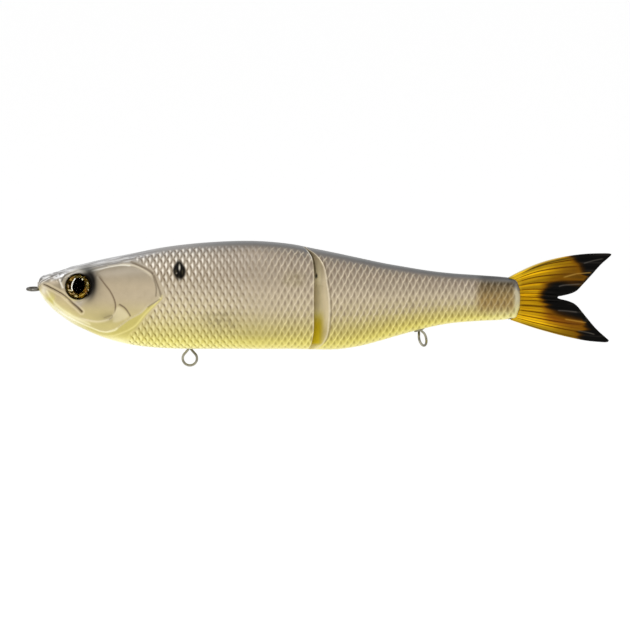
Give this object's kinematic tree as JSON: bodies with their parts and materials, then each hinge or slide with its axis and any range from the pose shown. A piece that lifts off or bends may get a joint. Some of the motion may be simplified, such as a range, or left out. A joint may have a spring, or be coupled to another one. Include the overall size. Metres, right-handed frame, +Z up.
{
  "type": "jointed swimbait",
  "caption": "Jointed glide swimbait: hard shell body sections on a pin hinge, a soft forked tail, domed eyes, a line tie and swivelling hook hangers.",
  "frame": {"origin": "centre of the line-tie eye in front of the nose", "axes": "+X from the nose to the tail, +Z up with the belly down, the fish's left side faces -Y"},
  "size_m": [0.2043, 0.024, 0.0446],
  "materials": {
    "front_shell": "pearl paint under clear coat",
    "rear_shell": "pearl paint under clear coat",
    "tie_wire": "dark plated wire",
    "hanger_wire": "bright wire",
    "barrel": "satin",
    "joint_steel": "satin",
    "ballast": "plain",
    "iris": "metallic foil",
    "lens": "clear resin dome",
    "soft_tail": "soft plastic"
  },
  "bodies": {
    "front": {"head_shell_left": "front_shell", "head_shell_right": "front_shell", "line_tie": "tie_wire", "iris_left": "iris", "iris_right": "iris", "lens_left": "lens", "lens_right": "lens", "ballast_fore": "ballast", "ballast_aft": "ballast", "front_hanger_barrel": "barrel", "joint_eye_upper": "joint_steel", "joint_eye_lower": "joint_steel"},
    "front_hanger": {"front_hanger_eye": "hanger_wire"},
    "rear": {"rear_shell_left": "rear_shell", "rear_shell_right": "rear_shell", "joint_pin": "joint_steel", "rear_ballast": "ballast", "rear_hanger_barrel": "barrel", "tail_tab": "soft_tail", "tail_cross_pin": "joint_steel"},
    "rear_hanger": {"rear_hanger_eye": "hanger_wire"},
    "tail": {"tail_blade": "soft_tail"}
  },
  "joints": [
    {"name": "body_joint", "type": "hinge", "parent": "front", "child": "rear", "pos_m": [0.0984, 0, 0], "axis": [0, 0, 1], "range_deg": [-22, 22]},
    {"name": "front_hanger_swivel", "type": "hinge", "parent": "front", "child": "front_hanger", "pos_m": [0.0544, 0, -0.0248], "axis": [0, 0, 1], "continuous": true},
    {"name": "rear_hanger_swivel", "type": "hinge", "parent": "rear", "child": "rear_hanger", "pos_m": [0.1361, 0, -0.0177], "axis": [-0.342, 0, 0.9397], "continuous": true},
    {"name": "tail_flex", "type": "hinge", "parent": "rear", "child": "tail", "pos_m": [0.1713, 0, 0], "axis": [0, 0, 1], "range_deg": [-30, 30], "stiffness_Nm_per_rad": 0.012}
  ]
}
